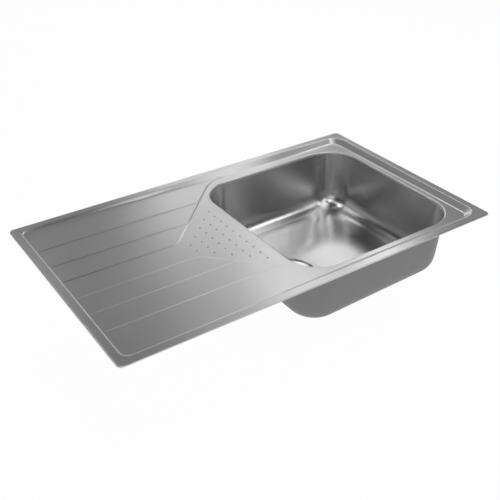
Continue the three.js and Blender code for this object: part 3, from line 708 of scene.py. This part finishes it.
dark_plastic = dull_material("dark_plastic", grey(0.05, 0.052), grey(0.075, 0.078), 0.28, 500, 0.00001)

SLOT_MATERIALS = {
    "stainless_sheet": deck_steel, "turned_stainless": polished, "zinc_steel": zinc,
    "black_rubber": rubber, "grey_foam": foam, "grey_felt": felt,
    "white_plastic": white_plastic, "dark_plastic": dark_plastic,
}


def finish_cad_nodes():
    """Each CAD node takes its slot's material and smooth shading up to its sharp edges."""
    for part in frame["record"]["subparts"]:
        node = frame["nodes"][part["node"]]
        node.data.materials.clear()
        node.data.materials.append(SLOT_MATERIALS[part["material_slot"]])
        node.data.polygons.foreach_set("use_smooth", [True] * len(node.data.polygons))
        node.data.set_sharp_from_angle(angle=CAD_SHARP_ANGLE)


# ---------------------------------------------------------------- studio

FLOOR_LEVEL, FLOOR_REACH = -0.26, 9
FLOOR_COLOUR, FLOOR_ROUGHNESS, FLOOR_GLOSS = 0.95, 0.9, 0.1
FLOOR_WHITE = 0.98  # share of even white in what the camera, metal and glass see of the floor

LAMP_HEIGHT, LAMP_STEP = 1.0, 0.004  # each softbox hangs a step above the one before
# extent along X and along Y of each level softbox, and how bright its face looks
SOFTBOXES = [
    ((0.5, 0.8), (-0.6, 1), 1.15), ((-0.6, -0.4), (-0.6, 1), 1.92), ((0.75, 1.29), (2, 3), 2.5),
    ((1.0, 1.28), (0.6, 1), 5.0), ((0.2, 0.5), (-0.6, 0.2), 1.60), ((0.8, 1.05), (-0.6, -0.2), 3.9),
    ((0, 1), (0.6, 1), 0.5), ((-0.4, -0.2), (0.6, 1), 5.87), ((-0.4, 0.35), (-1.2, -0.6), 1.56),
    ((1.35, 2.6), (0.2, 1.5), 0.36), ((0, 1.25), (1.5, 2), 0.73), ((-0.4, -0.2), (-0.6, -0.2), 4.46),
    ((1.0, 1.29), (1.2, 2), 2.3), ((-2.4, -0.8), (-2.2, -0.6), 0.8),
]
# the studio's pale walls end in a dark ceiling; heights are sines of the elevation
WALL_LIGHT, CEILING_LIGHT, WALL_FADE = 0.80, 0.01, (0.20, 0.36)

# the camera stands where the photograph was taken from
CAMERA_PLACE = Vector((-0.768154, -0.861542, 0.798067))
CAMERA_TURN, CAMERA_DOWN = math.radians(34.284), math.radians(32.740)
CAMERA_SENSOR, CAMERA_LENS, CAMERA_SHIFT = 36, 54.60, 0.00537


def maths(tree, operation, first, second):
    node = tree.nodes.new("ShaderNodeMath")
    node.operation = operation
    tree.links.new(first, node.inputs[0])
    tree.links.new(second, node.inputs[1])
    return node.outputs["Value"]


def mix_shaders(tree, share, first, second):
    node = tree.nodes.new("ShaderNodeMixShader")
    tree.links.new(share, node.inputs["Fac"])
    tree.links.new(first, node.inputs[1])
    tree.links.new(second, node.inputs[2])
    return node.outputs["Shader"]


def show_white(tree, plain, surface, share):
    """Mixes even white into what the camera, metal and glass see, not into the light itself."""
    path = tree.nodes.new("ShaderNodeLightPath")
    seen = path.outputs["Is Camera Ray"]
    for ray in ("Is Glossy Ray", "Is Transmission Ray"):
        seen = maths(tree, "MAXIMUM", seen, path.outputs[ray])
    part = spread(tree, seen, 0, 1, 0, share)
    white = tree.nodes.new("ShaderNodeEmission").outputs["Emission"]
    upper_side = mix_shaders(tree, part, plain, white)
    # from below the floor lets the underside of the sink show
    behind = tree.nodes.new("ShaderNodeNewGeometry").outputs["Backfacing"]
    clear = tree.nodes.new("ShaderNodeBsdfTransparent").outputs["BSDF"]
    tree.links.new(mix_shaders(tree, behind, upper_side, clear), surface)


def make_floor():
    mesh = bpy.data.meshes.new("floor")
    corners = [(-1, -1), (1, -1), (1, 1), (-1, 1)]
    mesh.from_pydata([(x * FLOOR_REACH, y * FLOOR_REACH, 0) for x, y in corners], [], [(0, 1, 2, 3)])
    floor = bpy.data.objects.new("floor", mesh)
    floor.location.z = FLOOR_LEVEL
    scene.collection.objects.link(floor)
    material, tree, shader = node_material("floor_paint")
    shader.inputs["Base Color"].default_value = (*grey(FLOOR_COLOUR), 1)
    shader.inputs["Roughness"].default_value = FLOOR_ROUGHNESS
    shader.inputs["Specular IOR Level"].default_value = FLOOR_GLOSS
    surface = tree.nodes["Material Output"].inputs["Surface"]
    show_white(tree, shader.outputs["BSDF"], surface, FLOOR_WHITE)
    mesh.materials.append(material)


def softbox(name, x_range, y_range, height, radiance):
    """Level area lamp over the sink; radiance is how bright its face looks."""
    lamp = bpy.data.lights.new(name, "AREA")
    lamp.shape = "RECTANGLE"
    lamp.size, lamp.size_y = x_range[1] - x_range[0], y_range[1] - y_range[0]
    lamp.energy = radiance * math.pi * lamp.size * lamp.size_y
    holder = bpy.data.objects.new(name, lamp)
    holder.location = (sum(x_range) / 2, sum(y_range) / 2, height)
    holder.visible_camera = False
    scene.collection.objects.link(holder)


def make_world():
    """Pale walls and a dark ceiling as light, and a white background to the camera."""
    world = bpy.data.worlds.new("studio_walls")
    world.use_nodes = True
    tree = world.node_tree
    place = tree.nodes.new("ShaderNodeTexCoord")
    axes = tree.nodes.new("ShaderNodeSeparateXYZ")
    tree.links.new(place.outputs["Generated"], axes.inputs["Vector"])
    light = spread(tree, axes.outputs["Z"], *WALL_FADE, WALL_LIGHT, CEILING_LIGHT)
    camera_ray = tree.nodes.new("ShaderNodeLightPath").outputs["Is Camera Ray"]
    background = tree.nodes["Background"]
    background.inputs["Color"].default_value = (1, 1, 1, 1)
    tree.links.new(maths(tree, "MAXIMUM", light, camera_ray), background.inputs["Strength"])
    scene.world = world


def make_camera():
    lens = bpy.data.cameras.new("camera")
    lens.sensor_width, lens.lens, lens.shift_x = CAMERA_SENSOR, CAMERA_LENS, CAMERA_SHIFT
    camera = bpy.data.objects.new("camera", lens)
    camera.location = CAMERA_PLACE
    camera.rotation_euler = (math.pi / 2 - CAMERA_DOWN, 0, -CAMERA_TURN)
    scene.collection.objects.link(camera)
    scene.camera = camera


# ---------------------------------------------------------------- build

finish_cad_nodes()
deck = make_deck()
deck.data.materials.append(deck_steel)
bowl = make_bowl()
bowl.data.materials.append(bowl_steel)
bowl.data.materials.append(painted_shade_under_steel)

make_floor()
for index, (x_range, y_range, radiance) in enumerate(SOFTBOXES):
    softbox(f"softbox_{index + 1}", x_range, y_range, LAMP_HEIGHT + index * LAMP_STEP, radiance)
make_world()
scene.view_settings.view_transform = "Standard"
make_camera()
